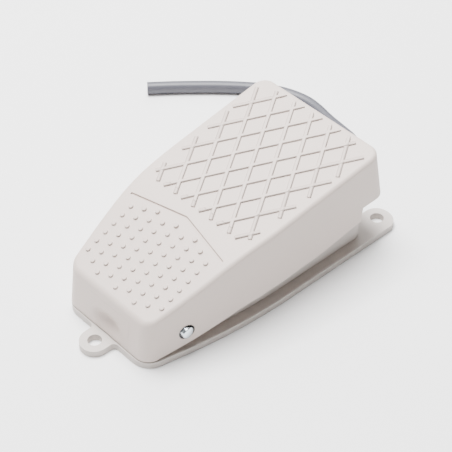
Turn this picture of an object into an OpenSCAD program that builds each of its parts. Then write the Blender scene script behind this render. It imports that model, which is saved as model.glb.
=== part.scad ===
// Industrial foot switch: a treadle pedal hinged on a cross pin over a flat
// three-eared base that carries a snap-action switch, a return spring and a
// short lead. +Y is the tall end with the lead, -Y the low end with the hinge,
// and the underside of the base lies on Z = 0. All sizes are in millimetres.

/* [Base plate] */
// Thickness of the base plate and its ears
plate_t = 2.4; // [2:0.1:4]
// Distance along Y between the front ear hole and the rear ear holes
ear_pitch_y = 102; // [100:0.5:110]
// Distance along X between the two rear ear holes
ear_pitch_x = 43; // [36:0.5:46]
// Diameter of the three screw holes in the ears
ear_hole_d = 4.5; // [3.5:0.1:5]
// Radius of the rounded ears
ear_r = 4.8; // [4:0.1:5.5]
// Margin of the plate around the foot of the pedal
plate_margin = 0.4; // [0.3:0.1:2]
// Wall thickness of the raised box on the plate
box_wall = 2; // [1.6:0.1:2.6]
// Height of the box wall at the rear
box_h = 18; // [15:0.5:19]

/* [Pedal] */
// Half width of the pedal at its front edge
pedal_front_w = 18.3; // [16:0.1:20]
// Half width of the pedal at the bend
pedal_mid_w = 25.3; // [24:0.1:27]
// Half width of the pedal at its rear edge
pedal_rear_w = 26.5; // [25:0.1:28]
// Place of the front edge along Y
pedal_front_y = -45.2; // [-48:0.1:-44]
// Place of the bend along Y
pedal_mid_y = -14; // [-18:0.5:-12]
// Place of the rear edge along Y
pedal_rear_y = 45; // [42:0.5:47]
// Height of the top face at the front edge
pedal_front_h = 17.4; // [16:0.1:19]
// Height of the top face at the bend
pedal_mid_h = 29.4; // [28:0.1:31]
// Height of the top face at the rear edge
pedal_rear_h = 37.7; // [36.5:0.1:40]
// Wall thickness of the skirt
skirt_t = 2; // [1.6:0.1:2.4]
// Thickness of the top
roof_t = 2.4; // [1.8:0.1:3]
// Radius of the top edges
edge_r = 1.4; // [1:0.1:2.6]
// Running gap between the pedal skirt and the base box
skirt_gap = 1.3; // [1:0.1:1.8]
// Height of the gap between the front wall and the plate at rest
toe_gap = 0.4; // [0.2:0.1:1]

/* [Tread] */
// Width of one diamond of the rear tread
diamond_w = 8; // [6:0.5:10]
// Length of one diamond of the rear tread
diamond_l = 12.9; // [10:0.1:15]
// Width of a tread rib
rib_w = 0.9; // [0.6:0.1:1.4]
// Height of the tread ribs
rib_h = 0.45; // [0.2:0.05:0.8]
// Spacing of the pip columns across the pedal
pip_pitch_x = 4.24; // [3.8:0.05:4.6]
// Spacing of the pips along a column
pip_pitch_y = 3.73; // [3.4:0.01:4.2]
// Diameter of a pip
pip_d = 1.5; // [1:0.1:2]
// Height of a pip
pip_h = 0.5; // [0.3:0.1:0.8]
// Width of the chevron groove between the two treads
groove_w = 0.7; // [0.4:0.1:1.2]
// Depth of the chevron groove
groove_d = 0.5; // [0.3:0.1:0.8]

/* [Hinge] */
// Place of the hinge pin along Y
pin_y = -32.6; // [-34:0.1:-31]
// Height of the hinge pin
pin_z = 9.4; // [9:0.1:10]
// Diameter of the hinge pin
pin_d = 4; // [3:0.1:4.4]
// Radial running clearance of the pedal on the pin
pin_clear = 0.05; // [0.02:0.01:0.1]
// Diameter of the recess around each end of the pin
recess_d = 5.2; // [4.8:0.1:6]
// Full travel of the pedal in degrees
travel = 6; // [4:0.5:6]

/* [Return spring] */
// Place of the spring along Y
spring_y = 20; // [19:0.5:23]
// Outer diameter of the spring
spring_d = 9; // [8:0.5:10]
// Diameter of the spring wire
spring_wire = 0.9; // [0.7:0.1:1.2]
// Number of turns
spring_turns = 8; // [6:1:9]

/* [Snap switch] */
// Length of the switch case
sw_l = 27.8; // [27:0.1:28.5]
// Height of the switch case
sw_h = 15.9; // [15.5:0.1:16.2]
// Thickness of the switch case with its cover
sw_t = 10.3; // [9.5:0.1:11]
// Rear end of the switch case along Y
sw_rear_y = 7.8; // [7:0.1:8.5]
// Height of the underside of the switch case
sw_z = 6.1; // [5.8:0.1:6.3]
// Diameter of the switch plunger
plunger_d = 3; // [2.4:0.1:3.4]
// Diameter of the screws that hold the switch
sw_screw_d = 3; // [2.5:0.1:3]
// Thickness of the sheet metal bracket
bracket_t = 1.2; // [1:0.1:1.6]

/* [Lead] */
// Outer diameter of the lead
lead_d = 4.4; // [3.6:0.1:5]
// Height of the lead where it leaves the base
lead_z = 7; // [6.5:0.1:7.4]
// Diameter of one insulated core
core_d = 1.7; // [1.4:0.1:1.9]

/* [Hidden] */

body_colour = [0.85, 0.83, 0.81];
steel_colour = [0.78, 0.80, 0.81];
brass_colour = [0.80, 0.65, 0.36];
case_colour = [0.13, 0.13, 0.14];
lead_colour = [0.55, 0.55, 0.58];

// Gap between faces that sit against each other without touching
seat = 0.05;
// Corner radii of the pedal in plan: front, bend, rear
corner_front = 5;
corner_bend = 200;
corner_rear = 4.5;
// Half length along Y over which the top bends from one slope to the other
bend_half = 8;
// How far the foot of the pedal stands out beyond its top: front, sides and rear
foot_front = 2;
foot_side = 0.4;
foot_rear = 6.7;
front_slope = (pedal_mid_h - pedal_front_h) / (pedal_mid_y - pedal_front_y);
rear_slope = (pedal_rear_h - pedal_mid_h) / (pedal_rear_y - pedal_mid_y);

// ---- plane geometry -------------------------------------------------------

function unit(v) = v / norm(v);
function wrap(a) = ((a + 900) % 360) - 180;

// Point of the corner b, between a and c, moved inwards by d
function inset_corner(a, b, c, d) =
    let (u = unit(b - a), v = unit(c - b), m = [u[1], -u[0]], n = [v[1], -v[0]])
    b - d * (m + n) / (1 + m * n);

// Outline P, counterclockwise and convex, moved inwards by d
function inset(P, d) =
    let (k = len(P))
    [for (i = [0:k - 1]) inset_corner(P[(i + k - 1) % k], P[i], P[(i + 1) % k], d)];

// Arc of radius r and n steps that rounds the corner b between a and c
function corner_arc(a, b, c, r, n) =
    let (u = unit(a - b), v = unit(c - b), half = acos(u * v) / 2,
        m = b + unit(u + v) * r / sin(half),
        p = b + u * r / tan(half), q = b + v * r / tan(half),
        start = atan2(p[1] - m[1], p[0] - m[0]),
        sweep = wrap(atan2(q[1] - m[1], q[0] - m[0]) - start))
    [for (i = [0:n]) m + r * [cos(start + sweep * i / n), sin(start + sweep * i / n)]];

// Outline P with each corner i rounded to R[i] in N[i] steps
function rounded(P, R, N) =
    let (k = len(P))
    [for (i = [0:k - 1])
        each corner_arc(P[(i + k - 1) % k], P[i], P[(i + 1) % k], R[i], N[i])];

// Profile drawn in Y and Z, extruded along X over the width w about x = 0
module across(w) {
    translate([-w / 2, 0, 0]) rotate([90, 0, 90]) linear_extrude(height = w) children();
}

// Cylinder along X from x = x0 with length l
module x_cylinder(d, x0, l, y, z) {
    translate([x0, y, z]) rotate([0, 90, 0]) cylinder(d = d, h = l, $fn = 48);
}

// Copies of the children at +X and -X
module both_sides() {
    children();
    mirror([1, 0, 0]) children();
}

// ---- pedal form -----------------------------------------------------------

// Height of the top face of the pedal at the place y
function top_z(y) =
    let (t = y - pedal_mid_y)
    t < -bend_half ? pedal_mid_h + front_slope * t
    : t > bend_half ? pedal_mid_h + rear_slope * t
    : pedal_mid_h - front_slope * bend_half + front_slope * (t + bend_half)
        + (rear_slope - front_slope) * pow(t + bend_half, 2) / (4 * bend_half);

// Six-cornered outline with half widths a, b, c at the places ya, yb, yc
function six(a, ya, b, yb, c, yc) =
    [[a, ya], [b, yb], [c, yc], [-c, yc], [-b, yb], [-a, ya]];

crown = six(pedal_front_w, pedal_front_y, pedal_mid_w, pedal_mid_y, pedal_rear_w, pedal_rear_y);
foot = six(pedal_front_w + foot_side / 2, pedal_front_y - foot_front,
    pedal_mid_w + foot_side, pedal_mid_y,
    pedal_rear_w + foot_side, pedal_rear_y + foot_rear);
plan_radii = [corner_front, corner_bend, corner_rear, corner_rear, corner_bend, corner_front];

// Half width of the foot outline at the place y, and the same for the crown
function foot_w(y) = lookup(y, [[foot[0][1], foot[0][0]], [foot[1][1], foot[1][0]],
    [foot[2][1], foot[2][0]]]);

// Ring of plan points moved in by d, with the steps N at its six corners
function ring(P, d, N) = rounded(inset(P, d), [for (r = plan_radii) r - d], N);

// Solid between the height low and the top face lowered by drop, moved in by d,
// with its top edge rounded to r in n steps
module pedal_form(d, drop, r, low, N, n) {
    lower = ring(foot, d, N);
    upper = ring(crown, d, N);
    k = len(upper);
    // Height at which the wall under the point p turns into the rounded edge
    function brow(p) = top_z(p[1]) - drop - r;
    wall = [for (i = [0:k - 1]) concat(upper[i], brow(upper[i]))];
    base_ring = [for (i = [0:k - 1])
        let (f = low / wall[i][2], p = lower[i] * (1 - f) + upper[i] * f) [p[0], p[1], low]];
    edge = [for (j = [1:n])
        let (a = 90 * j / n, q = ring(crown, d + r * (1 - cos(a)), N))
        [for (p = q) [p[0], p[1], brow(p) + r * sin(a)]]];
    rings = concat([base_ring, wall], edge);
    m = len(rings);
    sides = [for (j = [0:m - 2]) for (i = [0:k - 1])
        let (a = j * k + i, b = j * k + (i + 1) % k) each [[a, a + k, b], [b, a + k, b + k]]];
    half = k / 2;
    floor_faces = [for (i = [0:half - 2]) [i, i + 1, k - 2 - i, k - 1 - i]];
    top = (m - 1) * k;
    roof_faces = [for (i = [0:half - 2])
        [top + k - 1 - i, top + k - 2 - i, top + i + 1, top + i]];
    polyhedron(points = [for (q = rings) each q],
        faces = concat(sides, floor_faces, roof_faces));
}

// Lower edge of the skirt in Y and Z, from the toe to the rear wall
toe_z = plate_t + toe_gap;
skirt_edge = [[-60, toe_z], [-43, toe_z], [-33, 4.4], [pedal_mid_y, 8.2], [20, 10.4],
    [37, 13.2], [37.6, 18.6], [60, 19.4]];

// Scoop in the front wall over the front ear, of radius r, t larger all round
ear_y = ear_pitch_y / 2;
scoop_r = 8.5;
scoop_h = 12.4;
module scoop(t) {
    translate([0, -ear_y, 0]) rotate_extrude($fn = 72)
        intersection() {
            union() {
                translate([0, -1]) square([scoop_r + t, 1 + scoop_h / 2]);
                translate([0, scoop_h / 2]) circle(r = scoop_r + t, $fn = 72);
            }
            square([scoop_r + t, scoop_h + t]);
        }
}

// Stops, striker and spring seat under the roof of the pedal
stop_x = 14.5;
stop_y = 30;
stop_z = 25;
stop_d = 7;
striker_y = 9.5;
striker_z = 27.6;
striker_w = 7;
striker_t = 1.6;
spring_seat_z = 29;
boss_x = foot_w(pin_y) - skirt_t - skirt_gap;
bearing_x = boss_x + 0.25;
bearing_d = 2 * recess_d - 1.4;
recess_floor = foot_w(pin_y) - 0.9;

module pedal_inside() {
    // spring seat with its guide pin
    translate([0, spring_y, spring_seat_z]) cylinder(d = spring_d + 1, h = 12, $fn = 48);
    translate([0, spring_y, spring_seat_z - 4])
        cylinder(d = spring_d - 2 * spring_wire - 0.8, h = 6, $fn = 48);
    // striker over the switch lever
    translate([-striker_w / 2, striker_y - striker_t / 2, striker_z])
        cube([striker_w, striker_t, 12]);
    both_sides() {
        // stop boss
        translate([stop_x, stop_y, stop_z]) cylinder(d = stop_d, h = 14, $fn = 48);
        // bearing boss round the pin
        x_cylinder(bearing_d, bearing_x, 8, pin_y, pin_z);
    }
    // wall behind the scoop
    scoop(skirt_t);
}

// ---- tread ----------------------------------------------------------------

groove_end = [20.7, -17.5];
groove_apex = -13.2;
tread_front_y = -9.4;
tread_rear_y = 27.3;
pip_first_y = -41.6;
pip_reach = [14, 13, 14, 13, 12];

// Path of the chevron groove on the top face, in 2 k steps
function chevron(k) = [for (i = [-k:k])
    let (f = i / k) [groove_end[0] * f, groove_apex + (groove_end[1] - groove_apex) * abs(f)]];

// Cutter for the groove: a square bar that follows the top face
module groove() {
    path = chevron(4);
    u = groove_w / 2 * unit([groove_apex - groove_end[1], groove_end[0]]);
    rings = [for (p = path)
        let (s = p[0] < 0 ? [-u[0], u[1]] : p[0] > 0 ? u : [0, norm(u) * norm(u) / u[1]],
            z = top_z(p[1]))
        [concat(p - s, z - groove_d), concat(p - s, z + 1), concat(p + s, z + 1),
            concat(p + s, z - groove_d)]];
    tube(rings, 4);
}

// Raised diamond ribs, drawn in the plane of the rear slope and cut to a zone
module diamonds() {
    tilt = atan(rear_slope);
    far = (pedal_rear_y - pedal_mid_y) / cos(tilt);
    step = norm([diamond_w, diamond_l]);
    first = tread_rear_y - pedal_mid_y;
    translate([0, pedal_mid_y, pedal_mid_h]) rotate([tilt, 0, 0])
        translate([0, 0, -0.5]) linear_extrude(height = rib_h + 0.5) intersection() {
            polygon([[-21.6, 6.6], [21.6, 6.6], [23.7, far - 10], [23.7, far - 3.4],
                [22.4, far - 2.2], [-22.4, far - 2.2], [-23.7, far - 3.4], [-23.7, far - 10]]);
            union() for (k = [-4:5], side = [-1, 1])
                translate([0, first + k * diamond_l]) rotate(side * atan(diamond_l / diamond_w))
                    square([4 * step, rib_w], center = true);
        }
}

// Rows of small round studs on the front slope
module pips() {
    tilt = atan(front_slope);
    translate([0, pedal_mid_y, pedal_mid_h]) rotate([tilt, 0, 0])
        for (c = [-4:4], k = [0:14])
            if ((c + k) % 2 == 0 && k <= pip_reach[abs(c)] && k >= (abs(c) == 4 ? 2 : 0))
                translate([c * pip_pitch_x, (pip_first_y - pedal_mid_y) / cos(tilt) + k * pip_pitch_y / 2,
                    -0.5]) cylinder(d = pip_d, h = pip_h + 0.5, $fn = 16);
}

module pedal_cover() color(body_colour) difference() {
    union() {
        difference() {
            pedal_form(0, 0, edge_r, 1, [8, 10, 8, 8, 10, 8], 5);
            pedal_form(skirt_t, roof_t, 1, -1, [6, 8, 5, 5, 8, 6], 2);
        }
        intersection() {
            pedal_form(skirt_t - 0.3, roof_t - 0.3, 1, -1.2, [6, 8, 5, 5, 8, 6], 2);
            pedal_inside();
        }
        diamonds();
        pips();
    }
    // everything below the lower edge
    across(80) polygon(concat([[60, -9], [-60, -9]], skirt_edge));
    scoop(0);
    groove();
    both_sides() {
        x_cylinder(pin_d + 2 * pin_clear, bearing_x - 1, 6, pin_y, pin_z);
        x_cylinder(recess_d, recess_floor, 6, pin_y, pin_z);
    }
}

// ---- base -----------------------------------------------------------------

box_front_y = -39.6;
box_rear_y = 42;
box_inset = skirt_t + skirt_gap;
box_z = 13.2;
plate_front_y = foot[0][1] - 0.1;
plate_rear_y = 46.5;

// Raised box in plan, moved in by d
function box_plan(d) =
    let (P = inset(foot, box_inset + d))
    rounded([[foot_w(box_front_y) - box_inset - d, box_front_y + d], P[1],
        [P[2][0], box_rear_y - d], [-P[2][0], box_rear_y - d], P[4],
        [-foot_w(box_front_y) + box_inset + d, box_front_y + d]],
        [4 - d / 2, corner_bend, 3.5 - d, 3.5 - d, corner_bend, 4 - d / 2], [5, 6, 5, 5, 6, 5]);

// Plate in plan: the foot of the pedal with a margin, its sides carried on into
// the two rear ears and cut square between them
plate_plan = let (P = inset(foot, -plate_margin), w = P[2][0], e = ear_pitch_x / 2 - ear_r,
        y = ear_y + ear_r, r = (w - e) / 2 - 0.4)
    rounded([[P[0][0], plate_front_y], P[1], [w, y], [e, y], [e, plate_rear_y], [-e, plate_rear_y],
        [-e, y], [-w, y], P[4], [-P[0][0], plate_front_y]],
        [7, corner_bend, r, r, 1.6, 1.6, r, r, corner_bend, 7], [8, 8, 8, 8, 4, 4, 8, 8, 8, 8]);

// Ear of radius ear_r at [x, y], joined to the plate over the width w towards y = 0
module ear(x, y, w) {
    translate([x, y, 0]) cylinder(r = ear_r, h = plate_t, $fn = 64);
    translate([x - w / 2, min(y, y - sign(y) * 8), 0]) cube([w, 8, plate_t]);
}

// Concave fillets of radius r between the plate edge at y and an ear neck at x
module ear_fillet(x, y, r) {
    side = sign(y);
    difference() {
        translate([min(x, x + r), min(y, y + side * r), 0]) cube([r, r, plate_t]);
        translate([x + r, y + side * r, -1]) cylinder(r = r, h = plate_t + 2, $fn = 48);
    }
}

module holes_in_ears() {
    translate([0, -ear_y, -1]) cylinder(d = ear_hole_d, h = plate_t + 2, $fn = 64);
    both_sides() translate([ear_pitch_x / 2, ear_y, -1])
        cylinder(d = ear_hole_d, h = plate_t + 2, $fn = 64);
}

// Blind screw boss from the plate up to the height z
module screw_boss(x, y, z, d, hole) {
    difference() {
        translate([x, y, plate_t - 0.5]) cylinder(d = d, h = z - plate_t + 0.5, $fn = 48);
        translate([x, y, 1.4]) cylinder(d = hole, h = z, $fn = 32);
    }
}

// Places of the bracket screws and of the clamp screws
bracket_x = sw_t / 2 + bracket_t + 5.6;
bracket_screw_y = [sw_rear_y - sw_l + 10, sw_rear_y - 5];
bracket_z = 7.4;
clamp_y = box_rear_y - 7;
clamp_x = 7.5;
clamp_z = lead_z;
small_screw_d = 2.9;
small_pilot_d = 2.5;

module base() color(body_colour) difference() {
    union() {
        linear_extrude(height = plate_t) polygon(plate_plan);
        ear(0, -ear_y, 2 * ear_r);
        both_sides() ear_fillet(ear_r, plate_front_y, 1.6);
        // raised box, lower at the front than at the rear
        intersection() {
            difference() {
                linear_extrude(height = box_h) polygon(box_plan(0));
                translate([0, 0, plate_t]) linear_extrude(height = box_h)
                    polygon(box_plan(box_wall));
            }
            across(80) polygon([[-50, 0], [50, 0], [50, box_h + 1], [box_rear_y, box_h],
                [-34, box_z], [-50, box_z]]);
        }
        // bosses that hold the pin
        both_sides() {
            x_cylinder(8, boss_x - 6, 6, pin_y, pin_z);
            translate([boss_x - 6, pin_y - 4, plate_t - 0.5]) cube([6, 8, pin_z - plate_t + 0.5]);
        }
        // spring post
        translate([0, spring_y, plate_t - 0.5])
            cylinder(d = spring_d - 2 * spring_wire - 0.8, h = 6.5, $fn = 48);
        // stop posts
        both_sides() translate([stop_x, stop_y + 1.2, plate_t - 0.5])
            cylinder(d = stop_d - 1, h = stop_post_z - plate_t + 0.5, $fn = 48);
        for (y = bracket_screw_y) screw_boss(bracket_x, y, bracket_z, 6, small_pilot_d);
        for (x = [-clamp_x, clamp_x]) screw_boss(x, clamp_y, clamp_z - 0.3, 6, small_pilot_d);
        // saddle under the lead
        translate([-3, clamp_y - 3, plate_t - 0.5]) cube([6, 6, lead_z - plate_t - 0.5]);
    }
    holes_in_ears();
    both_sides() {
        x_cylinder(pin_d, 5, 20, pin_y, pin_z);
        // flat on the wall for the bearing of the pedal
        x_cylinder(bearing_d + 1, boss_x, 6, pin_y, pin_z);
    }
    // opening for the grommet
    translate([0, box_rear_y + 3, lead_z]) rotate([90, 0, 0])
        cylinder(d = grommet_d, h = 10, $fn = 64);
    // seat of the lead in the saddle
    translate([0, clamp_y + 4, lead_z]) rotate([90, 0, 0])
        cylinder(d = lead_d + 2 * seat, h = 8, $fn = 48);
}

// Height of the stop posts: the pressed stop boss comes down to just above them
function pressed(p) =
    let (y = p[0] - pin_y, z = p[1] - pin_z)
    [pin_y + y * cos(travel) + z * sin(travel), pin_z - y * sin(travel) + z * cos(travel)];
stop_post_z = pressed([stop_y + stop_d / 2, stop_z])[1] - 0.1;

// ---- hinge and spring -----------------------------------------------------

pin_end = foot_w(pin_y) - 0.15;
module hinge_pin() color(steel_colour) rotate([0, 90, 0]) translate([-pin_z, pin_y, 0])
    rotate_extrude($fn = 64) intersection() {
        translate([0, -pin_end]) square([pin_d / 2, 2 * pin_end]);
        union() {
            translate([0, -pin_end + 1]) square([pin_d / 2, 2 * pin_end - 2]);
            for (s = [-1, 1]) translate([0, s * (pin_end - 3)]) circle(r = 3, $fn = 96);
        }
    }

spring_low = plate_t + seat;
spring_high = spring_seat_z - seat;
spring_sides = 8;
spring_steps = 14;
// Closed end turns: the pitch grows from nothing over the first and last turn
function share(t) = t < 1 ? t * t / 2 : t > spring_turns - 1
    ? spring_turns - 1 - pow(spring_turns - t, 2) / 2 : t - 0.5;
module return_spring() color(steel_colour) {
    rise = spring_high - spring_low - spring_wire;
    rad = (spring_d - spring_wire) / 2;
    count = spring_turns * spring_steps;
    rings = [for (i = [0:count])
        let (t = i / spring_steps, z = share(t) / (spring_turns - 1) * rise)
        [for (j = [0:spring_sides - 1])
            let (a = 360 * j / spring_sides, w = rad + spring_wire / 2 * cos(a))
            [w * cos(360 * t), w * sin(360 * t), z + spring_wire / 2 * (1 + sin(a))]]];
    translate([0, spring_y, spring_low]) tube(rings, spring_sides);
}

// Closed tube through rings of k points each
module tube(rings, k) {
    m = len(rings);
    sides = [for (i = [0:m - 2]) for (j = [0:k - 1])
        let (a = i * k + j, b = i * k + (j + 1) % k) each [[a, b, a + k], [b, b + k, a + k]]];
    first = [for (j = [0:k - 1]) k - 1 - j];
    last = [for (j = [0:k - 1]) (m - 1) * k + j];
    polyhedron(points = [for (r = rings) each r], faces = concat(sides, [first], [last]));
}

// ---- snap switch ----------------------------------------------------------

sw_y = sw_rear_y - sw_l;
sw_top = sw_z + sw_h;
sw_wall = 1.5;
cover_t = 1.2;
sw_x0 = -sw_t / 2 + cover_t;
sw_x1 = sw_t / 2;
sw_hole_low = [sw_y + 2.8, sw_z + 2.7];
sw_hole_high = [sw_rear_y - 2.8, sw_top - 2.9];
plunger_y = sw_y + 8.7;
lever_y = sw_y + 1.2;
lever_z = sw_top + 0.5;
lever_t = 0.5;
lever_w = 4.2;
lever_len = 31;
// Rise of the lever at rest: its upper face stays under the striker
lever_rest = atan((striker_z - 0.35 - lever_t / 2 - lever_z) / (striker_y - lever_y));
blade_y = sw_y + 2.2;
blade_z = sw_z + 7.2;
blade_t = 0.35;
blade_w = 4;
blade_root_d = 0.7;
blade_rest = 3;
blade_swing = 5;
contact_r = 19.8;
contact_d = 2.4;
contact_h = 1.2;
tab_t = 0.8;
tab_w = 4;
tab_l = 6;
// Faces of the fixed contacts above and below the moving one
contact_up = blade_z + contact_r * sin(blade_rest) + contact_h / 2 + seat;
contact_down = blade_z + contact_r * sin(blade_rest - blade_swing) - contact_h / 2 - seat;
contact_y = blade_y + contact_r;
common_y = sw_y + 7;

// Room inside the case in Y and Z, clear of the two screw bosses
module sw_room() polygon([[sw_y + 1.4, blade_z - 1.1], [sw_y + 5.6, blade_z - 1.1],
    [sw_y + 5.6, sw_z + 1.6], [sw_rear_y - 1.4, sw_z + 1.6], [sw_rear_y - 1.4, sw_top - 5.3],
    [sw_rear_y - 5.6, sw_top - 5.3], [sw_rear_y - 5.6, sw_top - 1.4], [sw_y + 1.4, sw_top - 1.4]]);

// Profile drawn in Y and Z, extruded from x = x0 to x = x1
module slab(x0, x1) {
    translate([x0, 0, 0]) rotate([90, 0, 90]) linear_extrude(height = x1 - x0) children();
}

module sw_outline() translate([sw_y, sw_z]) square([sw_l, sw_h]);

module sw_screw_holes() for (p = [sw_hole_low, sw_hole_high])
    x_cylinder(sw_screw_d + 0.2, -20, 40, p[0], p[1]);

// Places where the three strips pass through the wall, g wider all round
module strip_slots(g) {
    translate([-tab_w / 2 - g, common_y - tab_t / 2 - g, sw_z - 2])
        cube([tab_w + 2 * g, tab_t + 2 * g, 5]);
    for (z = [strip_open_z, strip_closed_z])
        translate([-tab_w / 2 - g, sw_rear_y - 3, z - g]) cube([tab_w + 2 * g, 6, tab_t + 2 * g]);
}
strip_open_z = contact_down - 0.5 - tab_t;
strip_closed_z = contact_up + 0.3;

module switch_case() color(case_colour) difference() {
    slab(sw_x0, sw_x1) sw_outline();
    slab(sw_x0 - 1, sw_x1 - sw_wall) sw_room();
    sw_screw_holes();
    translate([0, plunger_y, sw_top - 3]) cylinder(d = plunger_d + 0.1, h = 5, $fn = 48);
    strip_slots(0.03);
    // hook slots for the lever
    for (x = [-lever_w / 2 - 0.7, lever_w / 2 - 0.3])
        translate([x, lever_y - 0.6, sw_top - 1]) cube([1, 1.4, 2]);
}

module switch_cover() color([0.62, 0.16, 0.13]) difference() {
    slab(-sw_t / 2, sw_x0 - 0.02) sw_outline();
    sw_screw_holes();
}

module switch_plunger() color([0.8, 0.2, 0.15]) {
    // domed top of radius dome, just under the sloping lever
    dome = plunger_d;
    top = lever_z + (plunger_y - lever_y) * tan(lever_rest)
        - (dome + lever_t / 2 + seat) / cos(lever_rest) + dome;
    low = blade_z + (plunger_y - blade_y) * tan(blade_rest) + blade_t / 2 + 0.62;
    intersection() {
        translate([0, plunger_y, low]) cylinder(d = plunger_d, h = top - low + 1, $fn = 48);
        union() {
            translate([0, plunger_y, top - dome]) sphere(r = dome, $fn = 48);
            translate([0, plunger_y, low - 1]) cylinder(d = 2 * dome, h = top - dome - low + 1, $fn = 48);
        }
    }
    translate([0, plunger_y, sw_top - 1.4 - 0.9 - 0.15]) cylinder(d = plunger_d + 2, h = 0.9, $fn = 48);
}

module switch_lever() color(steel_colour)
    translate([0, lever_y, lever_z]) rotate([lever_rest, 0, 0]) {
        translate([-lever_w / 2, 0, -lever_t / 2]) cube([lever_w, lever_len, lever_t]);
        x_cylinder(0.8, -lever_w / 2, lever_w, 0, 0);
        // feet that hook into the case
        for (x = [-lever_w / 2 - 0.6, lever_w / 2 - 0.2])
            translate([x + 0.1, -0.3, -1.3]) cube([0.6, 0.6, 1.3]);
    }

module contact_blade() color(brass_colour)
    translate([0, blade_y, blade_z]) rotate([blade_rest, 0, 0]) {
        translate([-blade_w / 2, 0, -blade_t / 2]) cube([blade_w, contact_r + 1.4, blade_t]);
        x_cylinder(blade_root_d, -blade_w / 2, blade_w, 0, 0);
        translate([0, contact_r, -contact_h / 2]) cylinder(d = contact_d, h = contact_h, $fn = 32);
    }

module terminal_common() color(brass_colour) {
    // seat under the root of the blade, then on past it and down through the case
    seat_low = blade_z - 1.1;
    translate([-tab_w / 2, sw_y + 1.6, seat_low])
        cube([tab_w, 1.4, 1.1 - blade_root_d / 2 - seat]);
    translate([-tab_w / 2, sw_y + 1.6, seat_low])
        cube([tab_w, common_y + tab_t / 2 - sw_y - 1.6, 0.5]);
    translate([-tab_w / 2, common_y - tab_t / 2, sw_z - 2.6])
        cube([tab_w, tab_t, seat_low + 0.5 - sw_z + 2.6]);
}

module fixed_strip(z) translate([-tab_w / 2, contact_y - 2, z])
    cube([tab_w, sw_rear_y + tab_l - contact_y + 2, tab_t]);

module terminal_open() color(brass_colour) {
    fixed_strip(strip_open_z);
    translate([0, contact_y, strip_open_z]) cylinder(d = contact_d, h = tab_t + 0.5, $fn = 32);
}

module terminal_closed() color(brass_colour) {
    fixed_strip(strip_closed_z);
    translate([0, contact_y, contact_up]) cylinder(d = contact_d, h = 0.5, $fn = 32);
}

module switch_bracket() color(steel_colour) difference() {
    union() {
        slab(sw_x1 + seat, sw_x1 + seat + bracket_t)
            translate([sw_y, bracket_z]) square([sw_l, sw_top - bracket_z - 0.6]);
        // foot, cut short at the front to clear the lower nut
        translate([sw_x1 + seat, sw_y + 6.4, bracket_z + 0.02])
            cube([bracket_foot, sw_l - 6.4, bracket_t]);
    }
    sw_screw_holes();
    for (y = bracket_screw_y) translate([bracket_x, y, 0])
        cylinder(d = small_screw_d + 0.4, h = 30, $fn = 32);
}
bracket_foot = bracket_t + 9;

// Pan head screw along -Z: head of diameter 2 d, its underside at the origin
module pan_screw(d, l) {
    cylinder(d = 2 * d, h = 0.65 * d, $fn = 32);
    translate([0, 0, -l]) cylinder(d = d, h = l + 0.1, $fn = 32);
}

// Cross recess for a pan head, cut from above
module cross_recess(d) for (a = [0, 90]) rotate([0, 0, a])
    translate([-0.55 * d, -0.13 * d, 0.3 * d]) cube([1.1 * d, 0.26 * d, d]);

module switch_screws() color(steel_colour) for (p = [sw_hole_low, sw_hole_high])
    translate([-sw_t / 2 - seat, p[0], p[1]]) rotate([0, -90, 0]) difference() {
        pan_screw(sw_screw_d, sw_t + bracket_t + 3.4);
        cross_recess(sw_screw_d);
    }

module switch_nuts() color(steel_colour) for (p = [sw_hole_low, sw_hole_high])
    translate([sw_x1 + 2 * seat + bracket_t, p[0], p[1]]) rotate([0, 90, 0]) difference() {
        cylinder(d = 1.83 * sw_screw_d + 0.6, h = 0.8 * sw_screw_d, $fn = 6);
        translate([0, 0, -1]) cylinder(d = sw_screw_d + 0.04, h = 6, $fn = 32);
    }

module bracket_screws() color(steel_colour) for (y = bracket_screw_y)
    translate([bracket_x, y, bracket_z + bracket_t + 0.02 + seat]) difference() {
        pan_screw(small_pilot_d - 0.04, 6);
        cross_recess(small_screw_d);
    }

// ---- lead -----------------------------------------------------------------

grommet_d = 7;
grommet_out = 13;

// Moulded grommet: collars on both faces of the rear wall and a tapered sleeve
module lead_grommet() color(lead_colour)
    translate([0, box_rear_y, lead_z]) rotate([-90, 0, 0]) difference() {
        rotate_extrude($fn = 64) polygon([[0, -box_wall - 1.5], [grommet_d / 2 + 0.8, -box_wall - 1.5],
            [grommet_d / 2 + 0.8, -box_wall - seat], [grommet_d / 2 - 0.03, -box_wall - seat],
            [grommet_d / 2 - 0.03, seat], [grommet_d / 2 + 0.8, seat], [grommet_d / 2 + 0.8, 1.2],
            [lead_d / 2 + 1.2, 2.4], [lead_d / 2 + 0.7, grommet_out], [0, grommet_out]]);
        translate([0, 0, -10]) cylinder(d = lead_d + 2 * seat, h = 40, $fn = 48);
    }

clamp_t = 1.4;
module lead_clamp() color(body_colour) difference() {
    union() {
        translate([-clamp_x - 3, clamp_y - 3, clamp_z - 0.25]) cube([2 * clamp_x + 6, 6, clamp_t + 0.25]);
        translate([0, clamp_y + 3, lead_z]) rotate([90, 0, 0])
            cylinder(d = lead_d + 2 * clamp_t + 0.8, h = 6, $fn = 48);
    }
    translate([-20, clamp_y - 5, clamp_z - 10.25]) cube([40, 10, 10]);
    translate([0, clamp_y + 5, lead_z]) rotate([90, 0, 0])
        cylinder(d = lead_d + 2 * seat, h = 10, $fn = 48);
    for (x = [-clamp_x, clamp_x]) translate([x, clamp_y, 0]) cylinder(d = small_screw_d + 0.4, h = 30, $fn = 32);
}

module clamp_screws() color(steel_colour) for (x = [-clamp_x, clamp_x])
    translate([x, clamp_y, clamp_z + clamp_t + seat]) difference() {
        pan_screw(small_pilot_d - 0.04, 6);
        cross_recess(small_screw_d);
    }

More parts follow.
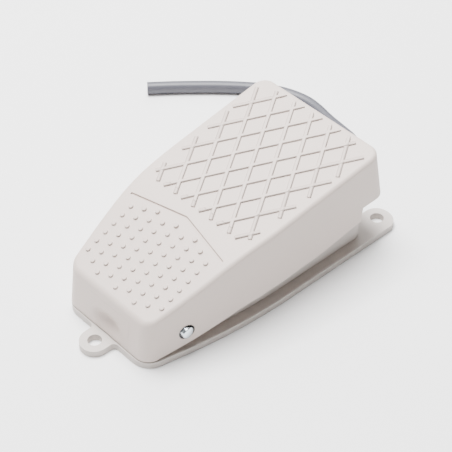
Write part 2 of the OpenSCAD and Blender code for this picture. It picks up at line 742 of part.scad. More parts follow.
// Route of the lead: from inside the clamp, straight out past the sleeve, round
// to -X and down to the floor
lead_end_y = clamp_y - 4;
lead_turn_y = box_rear_y + grommet_out + 0.2;
lead_bend = 18.4;
lead_route = concat([for (y = [lead_end_y, 38, 46, lead_turn_y]) [0, y, lead_z]],
    [for (a = [13:13:78]) [lead_bend * (cos(a) - 1), lead_turn_y + lead_bend * sin(a),
        lead_z - 4.2 * (1 - cos(a))]],
    [[-24.4, 75.4, 2.5], [-31.5, 77, 2.2], [-37.5, 77.3, 2.2], [-44.5, 75.6, 2.2], [-51.5, 72, 2.2],
    [-58, 66.9, 2.2], [-64.7, 60.5, 2.2], [-70.6, 54.2, 2.2], [-76.3, 47.8, 2.2],
    [-82, 40.9, 2.2]]);

// Rings of k points and diameter d along the points P, square to the path
function path_rings(P, d, k) =
    let (m = len(P))
    [for (i = [0:m - 1])
        let (t = unit(P[min(i + 1, m - 1)] - P[max(i - 1, 0)]),
            u = unit(cross(t, [0, 0, 1])), v = cross(u, t))
        [for (j = [0:k - 1])
            let (a = 360 * (j + 0.5) / k) P[i] + d / 2 * (cos(a) * u + sin(a) * v)]];

module lead() color(lead_colour) tube(path_rings(lead_route, lead_d, 12), 12);

// Cores from the end of the lead round the spring to the terminals
tab_under = strip_open_z - core_d / 2 - seat;
brown_route = [[1, lead_end_y - seat, lead_z], [1.4, 29, 6.8], [4.6, 26.4, 6.2], [7, 22.6, 5.8],
    [7, 18.4, 6.4], [4.8, 15.6, tab_under - 1.4], [2.2, 14.2, tab_under - 0.3], [0.8, 12.6, tab_under],
    [0.4, 9.6, tab_under]];
module core_brown() color([0.35, 0.2, 0.12]) tube(path_rings(brown_route, core_d, 8), 8);
blue_route = [[-1, lead_end_y - seat, lead_z], [-1.4, 29, 6.6], [-4.6, 26.4, 5.4], [-7, 22.6, 4.4],
    [-7.4, 16, 3.8], [-6.4, 8, 3.6], [-5, 0, 3.6], [-3.2, -5, 3.7], [-1.2, -8.6, 4.2],
    [-0.6, common_y + 2.4, 4.6], [-0.6, common_y + tab_t / 2 + seat, 4.6]];
module core_blue() color([0.16, 0.3, 0.6]) tube(path_rings(blue_route, core_d, 8), 8);

base();
pedal_cover();
hinge_pin();
return_spring();
switch_case();
switch_cover();
switch_plunger();
switch_lever();
contact_blade();
terminal_common();
terminal_open();
terminal_closed();
switch_bracket();
switch_screws();
switch_nuts();
bracket_screws();
lead_grommet();
lead_clamp();
clamp_screws();
core_brown();
core_blue();
lead();
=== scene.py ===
"""Looks of a small plastic foot switch: hinged treadle, flanged base, snap switch and lead."""

import logging
import math
from dataclasses import dataclass, field
from enum import Enum

import bmesh
import bpy
from mathutils import Euler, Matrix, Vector


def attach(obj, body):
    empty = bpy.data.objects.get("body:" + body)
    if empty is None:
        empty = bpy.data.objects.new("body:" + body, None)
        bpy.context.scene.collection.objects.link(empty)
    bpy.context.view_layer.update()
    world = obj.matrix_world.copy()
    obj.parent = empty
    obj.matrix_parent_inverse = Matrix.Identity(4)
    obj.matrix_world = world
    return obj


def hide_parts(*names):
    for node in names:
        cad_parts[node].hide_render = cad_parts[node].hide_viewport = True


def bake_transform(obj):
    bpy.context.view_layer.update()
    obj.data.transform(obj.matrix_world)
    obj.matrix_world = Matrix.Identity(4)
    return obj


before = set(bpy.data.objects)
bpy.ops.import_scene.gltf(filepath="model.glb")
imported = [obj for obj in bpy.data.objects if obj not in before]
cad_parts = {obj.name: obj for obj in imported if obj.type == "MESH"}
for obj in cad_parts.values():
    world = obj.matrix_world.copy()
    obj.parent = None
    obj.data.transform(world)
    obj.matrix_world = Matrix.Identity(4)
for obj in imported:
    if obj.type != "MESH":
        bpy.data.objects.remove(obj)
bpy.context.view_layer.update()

MM = 0.001
LOG = logging.getLogger("foot_switch")
Point = tuple[float, float, float]


# ---- small tools -------------------------------------------------------------------------


def linear(code: str) -> tuple[float, float, float, float]:
    """Turns an sRGB colour into linear light.

    Args:
        code: the colour as "#rrggbb".

    Returns:
        Red, green, blue and alpha, from 0 to 1.
    """
    parts = [int(code[i : i + 2], 16) / 255 for i in (1, 3, 5)]
    light = [c / 12.92 if c <= 0.04045 else ((c + 0.055) / 1.055) ** 2.4 for c in parts]
    return (light[0], light[1], light[2], 1.0)


def add_node(
    tree: bpy.types.NodeTree,
    kind: str,
    settings: dict | None = None,
    values: dict | None = None,
    links: dict | None = None,
) -> bpy.types.Node:
    """Adds one node to a tree.

    Args:
        tree: the material's or geometry's tree.
        kind: the node's type name.
        settings: properties of the node itself.
        values: constants for its input sockets, by name or number.
        links: output sockets to join to its inputs, by name or number.

    Returns:
        The new node.
    """
    node = tree.nodes.new(kind)
    for name, value in (settings or {}).items():
        setattr(node, name, value)
    for name, value in (values or {}).items():
        node.inputs[name].default_value = value
    for name, socket in (links or {}).items():
        tree.links.new(socket, node.inputs[name])
    return node


def show(obj: bpy.types.Object) -> bpy.types.Object:
    """Links a new object into the scene and returns it."""
    bpy.context.scene.collection.objects.link(obj)
    return obj


def baked(obj: bpy.types.Object) -> bpy.types.Object:
    """Turns an object with modifiers into a plain mesh object of the same name.

    Args:
        obj: a mesh or curve object at the origin.

    Returns:
        The plain mesh object that takes its place.
    """
    bpy.context.view_layer.update()
    graph = bpy.context.evaluated_depsgraph_get()
    mesh = bpy.data.meshes.new_from_object(obj.evaluated_get(graph), depsgraph=graph)
    name = obj.name
    obj.modifiers.clear()
    bpy.data.objects.remove(obj)
    mesh.name = name
    return show(bpy.data.objects.new(name, mesh))


def mesh_piece(name: str, points: list[Vector], faces: list[tuple[int, ...]]) -> bpy.types.Object:
    """Makes a mesh object from points in metres.

    Args:
        name: the piece's name.
        points: its vertices.
        faces: its faces, as vertex numbers.

    Returns:
        The new object, in the scene.
    """
    mesh = bpy.data.meshes.new(name)
    mesh.from_pydata([tuple(p) for p in points], [], faces)
    mesh.update()
    return show(bpy.data.objects.new(name, mesh))


def ringed_piece(name: str, rings: list[list[Vector]]) -> bpy.types.Object:
    """Makes a closed round body through rings of points, with a face over each end.

    Args:
        name: the piece's name.
        rings: the rings from end to end in metres, with the same number of points in each.

    Returns:
        The new object, in the scene, smooth and with its faces outwards.
    """
    sides = len(rings[0])
    faces: list[tuple[int, ...]] = []
    for i in range(len(rings) - 1):
        for k in range(sides):
            a, b = i * sides + k, i * sides + (k + 1) % sides
            faces.append((a, b, b + sides, a + sides))
    last = (len(rings) - 1) * sides
    faces.append(tuple(range(sides - 1, -1, -1)))
    faces.append(tuple(range(last, last + sides)))
    piece = mesh_piece(name, [p for ring in rings for p in ring], faces)
    work = bmesh.new()
    work.from_mesh(piece.data)
    bmesh.ops.recalc_face_normals(work, faces=work.faces)
    work.to_mesh(piece.data)
    work.free()
    piece.data.shade_smooth()
    return piece


def path_piece(name: str, runs: list[list[Point]]) -> bpy.types.Object:
    """Makes a curve object of straight runs, for a Geometry Nodes tree.

    Args:
        name: the piece's name.
        runs: lists of points in metres.

    Returns:
        The new curve object, in the scene.
    """
    curve = bpy.data.curves.new(name, "CURVE")
    curve.dimensions = "3D"
    for run in runs:
        spline = curve.splines.new("POLY")
        spline.points.add(len(run) - 1)
        for spot, p in zip(spline.points, run):
            spot.co = (p[0], p[1], p[2], 1.0)
    return show(bpy.data.objects.new(name, curve))


def paint(obj: bpy.types.Object, material: bpy.types.Material) -> None:
    """Gives an object one material in place of what it had."""
    obj.data.materials.clear()
    obj.data.materials.append(material)


def smooth(points: list[Point], steps: int) -> list[Vector]:
    """Runs a smooth line through points.

    Args:
        points: the points, in metres.
        steps: how many pieces each stretch is cut into.

    Returns:
        The points of the smooth line, ends included.
    """
    p = [Vector(q) for q in points]
    p = [2 * p[0] - p[1], *p, 2 * p[-1] - p[-2]]
    line = []
    for a, b, c, d in zip(p, p[1:], p[2:], p[3:]):
        for i in range(steps):
            t = i / steps
            bow = (2 * a - 5 * b + 4 * c - d) * t**2 + (3 * b - a - 3 * c + d) * t**3
            line.append(0.5 * (2 * b + (c - a) * t + bow))
    return [*line, p[-2]]


# ---- finishes ----------------------------------------------------------------------------


@dataclass(frozen=True)
class Finish:
    """A finish made of one Principled shader.

    Attributes:
        name: the real finish.
        colour: sRGB colour.
        roughness: from 0, mirror, to 1, chalk.
        metallic: 1 for a bare metal.
        grain_mm: size of the surface grain.
        relief_mm: height of the grain.
        drift: how far the colour wanders, from 0 to 1.
        stretch: how the patterns are drawn out along X, Y and Z.
        edge_mm: radius to which sharp edges look rounded, 0 for none.
        cloud_mm: size of the patches in which colour and roughness wander.
        rough_swing: how far the roughness wanders either way.
    """

    name: str
    colour: str
    roughness: float = 0.5
    metallic: float = 0.0
    grain_mm: float = 0.5
    relief_mm: float = 0.02
    drift: float = 0.04
    stretch: Point = (1.0, 1.0, 1.0)
    edge_mm: float = 0.0
    cloud_mm: float = 14.0
    rough_swing: float = 0.07

    def make(self) -> bpy.types.Material:
        """Builds the material.

        Returns:
            The material, with colour drift, roughness drift and a fine relief.
        """
        made = bpy.data.materials.get(self.name)
        if made:
            return made
        made = bpy.data.materials.new(self.name)
        made.use_nodes = True
        tree = made.node_tree
        shader = tree.nodes["Principled BSDF"]
        shader.inputs["Metallic"].default_value = self.metallic
        place = add_node(tree, "ShaderNodeTexCoord").outputs["Object"]
        place = add_node(
            tree, "ShaderNodeMapping", values={"Scale": self.stretch}, links={"Vector": place}
        ).outputs["Vector"]
        self.tint(tree, shader, place)
        self.feel(tree, shader, place)
        return made

    def tint(self, tree: bpy.types.NodeTree, shader: bpy.types.Node, place: bpy.types.NodeSocket) -> None:
        """Joins a slow drift of colour and of roughness to the shader.

        Args:
            tree: the material's tree.
            shader: its Principled shader.
            place: the coordinates that the pattern reads.
        """
        drift = add_node(
            tree,
            "ShaderNodeTexNoise",
            values={"Scale": 1 / (self.cloud_mm * MM), "Detail": 3.0, "Roughness": 0.6},
            links={"Vector": place},
        )
        base = linear(self.colour)
        low = tuple(c * (1 - self.drift) for c in base[:3]) + (1.0,)
        high = tuple(min(1.0, c * (1 + self.drift)) for c in base[:3]) + (1.0,)
        ramp = add_node(tree, "ShaderNodeValToRGB", links={"Fac": drift.outputs["Fac"]})
        ramp.color_ramp.elements[0].position = 0.3
        ramp.color_ramp.elements[0].color = low
        ramp.color_ramp.elements[1].position = 0.7
        ramp.color_ramp.elements[1].color = high
        tree.links.new(ramp.outputs["Color"], shader.inputs["Base Color"])
        rough = add_node(
            tree,
            "ShaderNodeMapRange",
            values={
                "To Min": max(0.02, self.roughness - self.rough_swing),
                "To Max": min(1.0, self.roughness + self.rough_swing),
            },
            links={"Value": drift.outputs["Fac"]},
        )
        tree.links.new(rough.outputs["Result"], shader.inputs["Roughness"])

    def feel(self, tree: bpy.types.NodeTree, shader: bpy.types.Node, place: bpy.types.NodeSocket) -> None:
        """Joins the fine relief to the shader.

        Args:
            tree: the material's tree.
            shader: its Principled shader.
            place: the coordinates that the pattern reads.
        """
        grain = add_node(
            tree,
            "ShaderNodeTexNoise",
            values={"Scale": 1 / (self.grain_mm * MM), "Detail": 2.0},
            links={"Vector": place},
        )
        bump = add_node(
            tree,
            "ShaderNodeBump",
            values={"Strength": 1.0, "Distance": self.relief_mm * MM},
            links={"Height": grain.outputs["Fac"]},
        )
        if self.edge_mm:
            round_off = add_node(tree, "ShaderNodeBevel", {"samples": 6}, {"Radius": self.edge_mm * MM})
            tree.links.new(round_off.outputs["Normal"], bump.inputs["Normal"])
        tree.links.new(bump.outputs["Normal"], shader.inputs["Normal"])


class Finishes(Enum):
    """The finishes of the foot switch, each by its real name."""

    # ABS moulded in a spark-eroded tool: matt, with a fine even grain and a soft broad shine
    TREADLE = Finish(
        "Moulded ABS treadle", "#c9bbb3", 0.55, grain_mm=0.45, relief_mm=0.012, drift=0.012, edge_mm=0.3
    )
    BASE = Finish("Moulded ABS base", "#bdb5af", 0.55, grain_mm=0.45, relief_mm=0.012, drift=0.015)
    # Bright zinc plate on turned steel: bluish, clear reflections with faint turning marks
    ZINC = Finish("Zinc plated steel", "#cdd6dd", 0.22, 1.0, 0.25, 0.003, 0.05, (0.2, 1.0, 1.0))
    # Painted shade: a dark colour on the recess round each end of the pin, standing in for the shadow there;
    # low roughness
    RECESS_SHADE = Finish("Painted recess shade", "#23262a", 0.3, grain_mm=0.5, relief_mm=0.03, drift=0.1)
    # Drawn spring wire: grey, half bright
    SPRING = Finish("Drawn spring steel", "#9b9a98", 0.34, 1.0, 0.2, 0.004, 0.08)
    # Thermoset switch moulding: black, half matt
    CASE = Finish("Black thermoset moulding", "#1d1d1f", 0.42, grain_mm=0.6, relief_mm=0.008, drift=0.1)
    COVER = Finish("Dark red thermoset moulding", "#7c2a22", 0.4, grain_mm=0.6, relief_mm=0.008, drift=0.08)
    # Acetal: slick and waxy
    PLUNGER = Finish("Red acetal", "#b4372b", 0.3, grain_mm=0.8, relief_mm=0.004, drift=0.04)
    # Rolled strip: fine lines along its length
    COPPER = Finish("Beryllium copper strip", "#cf8f5f", 0.28, 1.0, 0.3, 0.003, 0.08, (1.0, 0.15, 1.0))
    BRASS = Finish("Tinned brass strip", "#cdb98c", 0.3, 1.0, 0.3, 0.003, 0.1, (1.0, 0.15, 1.0))
    # Extruded PVC: satin, with a faint mottled skin
    SHEATH = Finish("Grey PVC sheath", "#4c4c54", 0.42, grain_mm=1.6, relief_mm=0.02, drift=0.03)
    BROWN = Finish("Brown PVC insulation", "#5a3a26", 0.4, grain_mm=1.0, relief_mm=0.01, drift=0.05)
    BLUE = Finish("Blue PVC insulation", "#2f5f9e", 0.4, grain_mm=1.0, relief_mm=0.01, drift=0.05)
    # Painted studio floor, matt
    FLOOR = Finish("Matt studio floor", "#f4f4f4", 0.9, grain_mm=4.0, relief_mm=0.0, drift=0.0)


# ---- studio ------------------------------------------------------------------------------


@dataclass
class Softbox:
    """A square soft light.

    Attributes:
        name: its name.
        place: where it hangs, in metres.
        width: its side, in metres.
        power: in watts.
    """

    name: str
    place: Point
    width: float
    power: float

    def hang(self) -> None:
        """Hangs the light, turned to the middle of the foot switch."""
        lamp = bpy.data.lights.new(self.name, "AREA")
        lamp.shape = "SQUARE"
        lamp.size = self.width
        lamp.energy = self.power
        obj = show(bpy.data.objects.new(self.name, lamp))
        obj.location = self.place
        aim = Vector((0, 0, 0.015)) - Vector(self.place)
        obj.rotation_euler = aim.to_track_quat("-Z", "Y").to_euler()


@dataclass
class Studio:
    """Camera, pale floor and soft light.

    Attributes:
        eye: the camera's place, in metres.
        tilt_deg: its turn from straight down.
        turn_deg: its turn about the vertical.
        lens_mm: focal length on a 36 mm sensor.
        sky: strength of the even white light from all round.
        floor_half: half the side of the floor, in metres.
        lights: the softboxes.
    """

    eye: Point = (0.2496, -0.2298, 0.3389)
    tilt_deg: float = 46.49
    turn_deg: float = 46.96
    lens_mm: float = 119.3
    sky: float = 0.35
    floor_half: float = 3.0
    lights: list[Softbox] = field(
        default_factory=lambda: [
            Softbox("key_light", (-0.32, -0.16, 0.8), 0.55, 6.0),
            Softbox("back_light", (-0.45, 0.45, 0.6), 0.6, 6.0),
            Softbox("top_light", (-0.2, 0.02, 0.9), 0.5, 28.0),
        ]
    )

    def set_camera(self) -> None:
        """Places the camera and makes it the scene's own."""
        data = bpy.data.cameras.new("camera")
        data.sensor_width = 36.0
        data.lens = self.lens_mm
        data.clip_start = 0.02
        data.clip_end = 10.0
        obj = show(bpy.data.objects.new("camera", data))
        obj.location = self.eye
        obj.rotation_euler = Euler((math.radians(self.tilt_deg), 0.0, math.radians(self.turn_deg)))
        bpy.context.scene.camera = obj

    def set_floor(self) -> None:
        half = self.floor_half
        corners = [Vector((x, y, 0)) for x, y in ((-half, -half), (half, -half), (half, half), (-half, half))]
        floor = mesh_piece("studio_floor", corners, [(0, 1, 2, 3)])
        paint(floor, Finishes.FLOOR.value.make())

    def set_light(self) -> None:
        """Sets an even white sky and hangs the softboxes."""
        world = bpy.data.worlds.new("studio_sky")
        world.use_nodes = True
        back = world.node_tree.nodes["Background"]
        back.inputs["Color"].default_value = linear("#ffffff")
        back.inputs["Strength"].default_value = self.sky
        bpy.context.scene.world = world
        for light in self.lights:
            light.hang()

    def build(self) -> None:
        """Sets up the whole studio."""
        self.set_camera()
        self.set_floor()
        self.set_light()
        LOG.info("studio set with %d softboxes", len(self.lights))


# ---- geometry trees ----------------------------------------------------------------------


class Ridges:
    """Geometry Nodes tree that runs a raised rib with sloping flanks along each run of a curve."""

    def __init__(self) -> None:
        """Builds the tree, with its sizes as named inputs."""
        tree = bpy.data.node_groups.new("raised_ribs", "GeometryNodeTree")
        tree.is_modifier = True
        face = tree.interface
        face.new_socket("Geometry", in_out="OUTPUT", socket_type="NodeSocketGeometry")
        face.new_socket("Geometry", in_out="INPUT", socket_type="NodeSocketGeometry")
        self.keys: dict[str, str] = {}
        for name, kind in (
            ("Foot width", "NodeSocketFloat"),
            ("Crest width", "NodeSocketFloat"),
            ("Height", "NodeSocketFloat"),
            ("Finish", "NodeSocketMaterial"),
        ):
            self.keys[name] = face.new_socket(name, in_out="INPUT", socket_type=kind).identifier
        inputs = add_node(tree, "NodeGroupInput").outputs
        section = add_node(
            tree,
            "GeometryNodeCurvePrimitiveQuadrilateral",
            {"mode": "TRAPEZOID"},
            {"Offset": 0.0},
            {
                "Height": inputs["Height"],
                "Bottom Width": inputs["Foot width"],
                "Top Width": inputs["Crest width"],
            },
        )
        upright = add_node(
            tree, "GeometryNodeSetCurveNormal", {"mode": "Z_UP"}, links={"Curve": inputs["Geometry"]}
        )
        swept = add_node(
            tree,
            "GeometryNodeCurveToMesh",
            values={"Fill Caps": True},
            links={"Curve": upright.outputs["Curve"], "Profile Curve": section.outputs["Curve"]},
        )
        real = add_node(tree, "GeometryNodeRealizeInstances", links={"Geometry": swept.outputs["Mesh"]})
        done = add_node(
            tree,
            "GeometryNodeSetMaterial",
            links={"Geometry": real.outputs["Geometry"], "Material": inputs["Finish"]},
        )
        add_node(tree, "NodeGroupOutput", links={"Geometry": done.outputs["Geometry"]})
        self.tree = tree

    def run(
        self, obj: bpy.types.Object, foot_mm: float, crest_mm: float, height_mm: float, finish: Finishes
    ) -> bpy.types.Object:
        """Runs the rib along a curve object.

        Args:
            obj: the curve object.
            foot_mm: width at the foot.
            crest_mm: width at the crest.
            height_mm: height from foot to crest.
            finish: the finish it gets.

        Returns:
            The plain mesh object.
        """
        mod = obj.modifiers.new("ridges", "NODES")
        mod.node_group = self.tree
        mod[self.keys["Foot width"]] = foot_mm * MM
        mod[self.keys["Crest width"]] = crest_mm * MM
        mod[self.keys["Height"]] = height_mm * MM
        mod[self.keys["Finish"]] = finish.value.make()
        return baked(obj)


# ---- pieces ------------------------------------------------------------------------------


@dataclass
class Moulding:
    """A rigid CAD node dressed as one smooth moulding with softened edges.

    Attributes:
        node: the CAD node.
        name: the new piece's name.
        body: the body it rides on.
        slot: the record's material slot; not used.
        finish: its finish.
        edge_mm: width of the softened edges.
        crease_deg: the angle above which an edge is softened.
    """

    node: str
    name: str
    body: str
    slot: str
    finish: Finishes
    edge_mm: float = 0.2
    crease_deg: float = 32.0

    def build(self) -> bpy.types.Object:
        """Makes the piece and lets it ride on its body."""
        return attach(self.shape(), self.body)

    def shape(self) -> bpy.types.Object:
        """Makes the piece from a merged copy of the node.

        Returns:
            The piece, in place of the node and riding on nothing yet.
        """
        work = bmesh.new()
        work.from_mesh(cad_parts[self.node].data)
        bmesh.ops.remove_doubles(work, verts=work.verts, dist=0.002 * MM)
        if self.edge_mm:
            bmesh.ops.dissolve_limit(
                work, angle_limit=math.radians(0.4), verts=work.verts, edges=work.edges, delimit={"NORMAL"}
            )
        mesh = bpy.data.meshes.new(self.name)
        work.to_mesh(mesh)
        work.free()
        old = mesh.attributes.get("custom_normal")
        if old:
            mesh.attributes.remove(old)
        mesh.shade_smooth()
        mesh.set_sharp_from_angle(angle=math.radians(self.crease_deg))
        piece = show(bpy.data.objects.new(self.name, mesh))
        if self.edge_mm:
            bevel = piece.modifiers.new("soft_edges", "BEVEL")
            bevel.width = self.edge_mm * MM
            bevel.segments = 2
            bevel.limit_method = "ANGLE"
            bevel.angle_limit = math.radians(self.crease_deg)
            bevel.harden_normals = True
            bevel.miter_outer = "MITER_ARC"
        weigh = piece.modifiers.new("even_normals", "WEIGHTED_NORMAL")
        weigh.keep_sharp = True
        piece = baked(piece)
        paint(piece, self.finish.value.make())
        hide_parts(self.node)
        LOG.info("%s: %d faces", self.name, len(piece.data.polygons))
        return piece


@dataclass
class ReturnSpring:
    """The coil spring under the treadle.

    Attributes:
        rest_mm: length of the closed end turn; not used.
    """

    rest_mm: float = 1.0

    def build(self) -> None:
        """Makes the spring from a merged copy of the CAD node and bakes its place into the mesh."""
        piece = Moulding(
            "return_spring", "coil_spring", "base_body", "spring_steel", Finishes.SPRING, edge_mm=0.0
        ).shape()
        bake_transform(piece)


@dataclass
class Tread:
    """The raised diamond ribs of the rear slope, out to the edges of the tread.

    Attributes:
        bend_y: where the rear slope begins, in millimetres like the rest.
        bend_z: height of the top face there.
        rise: slope of the rear face.
        cross_v: place of one row of crossings, measured up the slope.
        cell_x: width of a diamond.
        cell_v: its length up the slope.
        low_v: where the ribs begin.
        high_v: where they end.
        half_low: half width of the ribbed zone at its low end.
        half_gain: how much that half width grows up the slope.
        gain_v: length of slope over which it grows.
        shortest: length up the slope below which a cut rib is left out.
        rib: width of a rib at its foot and at its crest, and its height.
        lift: height of the middle of a rib over the slope, so that its foot is sunk in.
    """

    bend_y: float = -14.0
    bend_z: float = 29.4
    rise: float = (37.7 - 29.4) / 59.0
    cross_v: float = 41.3
    cell_x: float = 8.0
    cell_v: float = 12.9
    low_v: float = 4.7
    high_v: float = 56.6
    half_low: float = 21.0
    half_gain: float = 2.7
    gain_v: float = 44.0
    shortest: float = 4.5
    rib: tuple[float, float, float] = (1.3, 0.8, 0.5)
    lift: float = 0.06

    def reach(self, v: float) -> float:
        """Half width of the ribbed zone at v up the slope."""
        return self.half_low + self.half_gain * min(1.0, (v - self.low_v) / self.gain_v)

    def spot(self, u: float, v: float) -> Point:
        """Turns a place on the slope into a point of a rib's middle line, in metres.

        Args:
            u: place across.
            v: place up the slope.

        Returns:
            The point.
        """
        t = math.atan(self.rise)
        y = self.bend_y + v * math.cos(t) - self.lift * math.sin(t)
        z = self.bend_z + v * math.sin(t) + self.lift * math.cos(t)
        return (u * MM, y * MM, z * MM)

    def runs(self) -> list[list[Point]]:
        """Cuts every rib's line to the zone.

        Returns:
            The two ends of each rib.
        """
        found = []
        rows, steps = 9, 2000
        for side in (-1, 1):
            for k in range(-rows, rows + 1):
                start = self.cross_v + k * self.cell_v
                inside = []
                for step in range(steps + 1):
                    v = self.low_v + (self.high_v - self.low_v) * step / steps
                    u = side * (v - start) * self.cell_x / self.cell_v
                    if abs(u) <= self.reach(v):
                        inside.append((u, v))
                if inside and inside[-1][1] - inside[0][1] > self.shortest:
                    found.append([self.spot(*inside[0]), self.spot(*inside[-1])])
        return found

    def build(self) -> None:
        """Makes the ribs as one piece that rides on the pedal."""
        ribs = Ridges().run(path_piece("tread_ribs", self.runs()), *self.rib, Finishes.TREADLE)
        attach(ribs, "pedal")
        high = max(v.co.z for v in ribs.data.vertices)
        LOG.info("tread_ribs: %d faces, top at %.2f mm", len(ribs.data.polygons), high / MM)


@dataclass
class PinRecess:
    """The recess round each end of the hinge pin, painted dark as shade, and the pin's domed ends.

    Attributes:
        axis: the pin's place along Y and Z, in millimetres like the rest.
        radius: radius of the recess.
        floor_x: half the distance between the recess floors.
        pin_radius: radius of the pin.
        end_x: half the pin's length.
        dome: how far the ends are domed.
        dome_steps: how many steps each dome has.
        sides: how many sides the pin has.
    """

    axis: tuple[float, float] = (-32.6, 9.4)
    radius: float = 2.63
    floor_x: float = 20.6
    pin_radius: float = 2.0
    end_x: float = 22.5
    dome: float = 0.45
    dome_steps: int = 7
    sides: int = 40

    def paint_recess_shade(self, shell: bpy.types.Object) -> None:
        """Paints the faces inside the recess dark, as painted shade in the recess.

        Args:
            shell: the treadle's shell.
        """
        # painted shade: the faces inside the recess get a dark colour in place of real shadow
        shell.data.materials.append(Finishes.RECESS_SHADE.value.make())
        for face in shell.data.polygons:
            spots = [shell.data.vertices[i].co / MM for i in face.vertices]
            inside = all(
                math.hypot(v.y - self.axis[0], v.z - self.axis[1]) < self.radius and abs(v.x) > self.floor_x
                for v in spots
            )
            if inside:
                face.material_index = 1

    def ring(self, x: float, radius: float) -> list[Vector]:
        """Makes one ring of the pin's surface.

        Args:
            x: its place along the pin.
            radius: its radius.

        Returns:
            The ring's points, in metres.
        """
        turns = [2 * math.pi * k / self.sides for k in range(self.sides)]
        y, z = self.axis
        return [Vector((x, y + radius * math.cos(a), z + radius * math.sin(a))) * MM for a in turns]

    def pin(self) -> None:
        """Turns the pin with domed ends."""
        half = [(self.end_x - self.dome, self.pin_radius)]
        for i in range(1, self.dome_steps):
            a = math.pi / 2 * i / self.dome_steps
            half.append((self.end_x - self.dome * (1 - math.sin(a)), self.pin_radius * math.cos(a)))
        profile = [(-x, r) for x, r in reversed(half)] + half
        turned = ringed_piece("turned_pin", [self.ring(x, r) for x, r in profile])
        paint(turned, Finishes.ZINC.value.make())
        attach(turned, "base_body")
        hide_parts("hinge_pin")
        LOG.info("turned_pin: %d faces", len(turned.data.polygons))


@dataclass
class FrontDish:
    """The front wall over the ear: straight along its foot, with a shallow dish in it.

    Attributes:
        half_x: half width of the panel, in millimetres like the rest.
        low_z: its lower edge.
        high_z: its upper edge.
        depth: depth of the dish.
        wall: thickness of the panel.
        centre: middle of the dish along X and Z.
        radii: half width and half height of the dish.
        foot_y: place of the wall's face along Y at Z = 0.
        lean: how far the wall leans back for each millimetre of height.
        cells: how many cells the panel has across and up.
    """

    half_x: float = 10.4
    low_z: float = 2.8
    high_z: float = 14.2
    depth: float = 1.9
    wall: float = 2.3
    centre: tuple[float, float] = (0.6, 6.9)
    radii: tuple[float, float] = (7.8, 4.6)
    foot_y: float = -47.21
    lean: float = 0.125
    cells: tuple[int, int] = (52, 36)

    def plane(self, z: float) -> float:
        """Place along Y of the straight wall's face at the height z."""
        return self.foot_y + self.lean * z

    def front(self, x: float, z: float) -> float:
        """Finds the panel's outer face, with the dish in it.

        Args:
            x: place across the wall.
            z: height.

        Returns:
            The face's place along Y.
        """
        far = ((x - self.centre[0]) / self.radii[0]) ** 2 + ((z - self.centre[1]) / self.radii[1]) ** 2
        dip = self.depth * (1 - far) ** 2 if far < 1 else 0.0
        return self.plane(z) + dip

    def build(self) -> None:
        """Makes the panel as a closed slab that rides on the pedal."""
        across, up = self.cells
        points = []
        for deep in (False, True):
            for j in range(up + 1):
                z = self.low_z + (self.high_z - self.low_z) * j / up
                for i in range(across + 1):
                    x = self.half_x * (2 * i / across - 1)
                    y = self.plane(z) + self.wall if deep else self.front(x, z)
                    points.append(Vector((x, y, z)) * MM)
        row, layer = across + 1, (across + 1) * (up + 1)
        faces = []
        for j in range(up):
            for i in range(across):
                a = j * row + i
                faces.append((a, a + 1, a + row + 1, a + row))
                faces.append((layer + a, layer + a + row, layer + a + row + 1, layer + a + 1))
        for i in range(across):
            faces.append((i, layer + i, layer + i + 1, i + 1))
            a = up * row + i
            faces.append((a, a + 1, layer + a + 1, layer + a))
        for j in range(up):
            a, b = j * row, (j + 1) * row
            faces.append((a, b, layer + b, layer + a))
            a, b = a + across, b + across
            faces.append((a, layer + a, layer + b, b))
        panel = mesh_piece("treadle_front", points, faces)
        panel.data.shade_smooth()
        panel.data.set_sharp_from_angle(angle=math.radians(40))
        paint(panel, Finishes.TREADLE.value.make())
        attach(panel, "pedal")
        LOG.info("treadle_front: %d faces", len(panel.data.polygons))


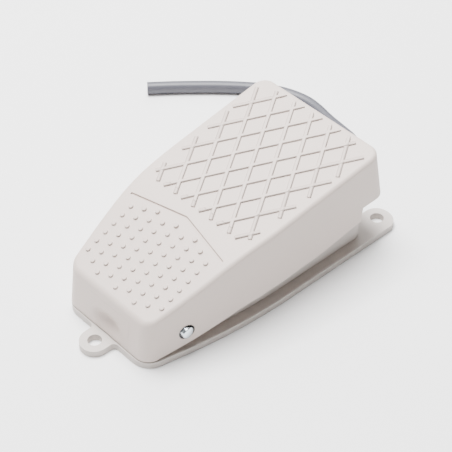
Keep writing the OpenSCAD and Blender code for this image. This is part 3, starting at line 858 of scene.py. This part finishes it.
@dataclass
class Lead:
    """The two-core lead, from the clamp inside to its cut end on the floor.

    Attributes:
        start_y: where the sheath ends inside, in millimetres like the rest.
        turn_y: where it leaves the straight line out of the sleeve.
        bend_mm: radius of its turn towards -X.
        drop: how far it comes down in that turn, drawn out to a quarter turn.
        turn_step_deg: angle between the points of the turn.
        turn_end_deg: how far round the points of the turn go.
        exit_y: where it leaves the rear wall; not used.
        exit_z: height of the straight stretch.
        tail: the points that it follows over the floor, to the cut end.
        diameter_mm: outside diameter of the sheath.
        sides: how many sides its section has.
    """

    start_y: float = 31.0
    turn_y: float = 55.2
    bend_mm: float = 18.4
    drop: float = 4.2
    turn_step_deg: int = 13
    turn_end_deg: int = 78
    exit_y: float = 44.0
    exit_z: float = 7.0
    tail: tuple[Point, ...] = (
        (-24.4, 75.4, 2.5), (-31.5, 77, 2.2), (-37.5, 77.3, 2.2), (-44.5, 75.6, 2.2), (-51.5, 72, 2.2),
        (-58, 66.9, 2.2), (-64.7, 60.5, 2.2), (-70.6, 54.2, 2.2), (-76.3, 47.8, 2.2), (-82, 40.9, 2.2),
    )
    diameter_mm: float = 4.4
    sides: int = 28

    def line(self) -> list[Vector]:
        """Runs the lead's middle line along its route.

        Returns:
            The points of the smooth line, in metres.
        """
        route = [(0.0, y, self.exit_z) for y in (self.start_y, 38.0, 46.0, self.turn_y)]
        for step in range(self.turn_step_deg, self.turn_end_deg + 1, self.turn_step_deg):
            a = math.radians(step)
            route.append((
                self.bend_mm * (math.cos(a) - 1),
                self.turn_y + self.bend_mm * math.sin(a),
                self.exit_z - self.drop * (1 - math.cos(a)),
            ))
        return smooth([tuple(c * MM for c in p) for p in (*route, *self.tail)], 5)

    def build(self) -> None:
        line = self.line()
        radius = self.diameter_mm / 2 * MM
        turns = [2 * math.pi * k / self.sides for k in range(self.sides)]
        rings = []
        for i, p in enumerate(line):
            ahead = (line[min(i + 1, len(line) - 1)] - line[max(i - 1, 0)]).normalized()
            side = ahead.cross(Vector((0, 0, 1))).normalized()
            up = side.cross(ahead)
            rings.append([p + radius * (math.cos(a) * side + math.sin(a) * up) for a in turns])
        sheath = ringed_piece("lead_sheath", rings)
        sheath.data.set_sharp_from_angle(angle=math.radians(50))
        paint(sheath, Finishes.SHEATH.value.make())
        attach(sheath, "base_body")
        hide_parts("lead")


@dataclass
class NodeFinishes:
    """The CAD nodes that stay as they are, each with its finish."""

    finishes: dict[str, Finishes] = field(
        default_factory=lambda: {
            "switch_case": Finishes.CASE,
            "switch_cover": Finishes.COVER,
            "switch_plunger": Finishes.PLUNGER,
            "switch_lever": Finishes.SPRING,
            "contact_blade": Finishes.COPPER,
            "terminal_common": Finishes.BRASS,
            "terminal_open": Finishes.BRASS,
            "terminal_closed": Finishes.BRASS,
            "switch_bracket": Finishes.ZINC,
            "switch_screws": Finishes.ZINC,
            "switch_nuts": Finishes.ZINC,
            "bracket_screws": Finishes.ZINC,
            "clamp_screws": Finishes.ZINC,
            "lead_clamp": Finishes.BASE,
            "core_brown": Finishes.BROWN,
            "core_blue": Finishes.BLUE,
            "lead_grommet": Finishes.SHEATH,
        }
    )

    def build(self) -> None:
        """Gives each node its finish."""
        for node, finish in self.finishes.items():
            paint(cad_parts[node], finish.value.make())
            LOG.info("%s: %s", node, finish.value.name)


def main() -> None:
    """Builds the foot switch's looks, one assembly after another."""
    logging.basicConfig(level=logging.INFO, format="%(message)s")
    Studio().build()
    Lead().build()
    shell = Moulding("pedal_cover", "treadle_shell", "pedal", "pedal_abs", Finishes.TREADLE, edge_mm=0.0)
    recess = PinRecess()
    # the recess faces round the pin ends get painted shade
    recess.paint_recess_shade(shell.build())
    recess.pin()
    Tread().build()
    ReturnSpring().build()
    FrontDish().build()
    Moulding("base", "base_tray", "base_body", "base_abs", Finishes.BASE).build()
    NodeFinishes().build()


if __name__ == "__main__":
    main()
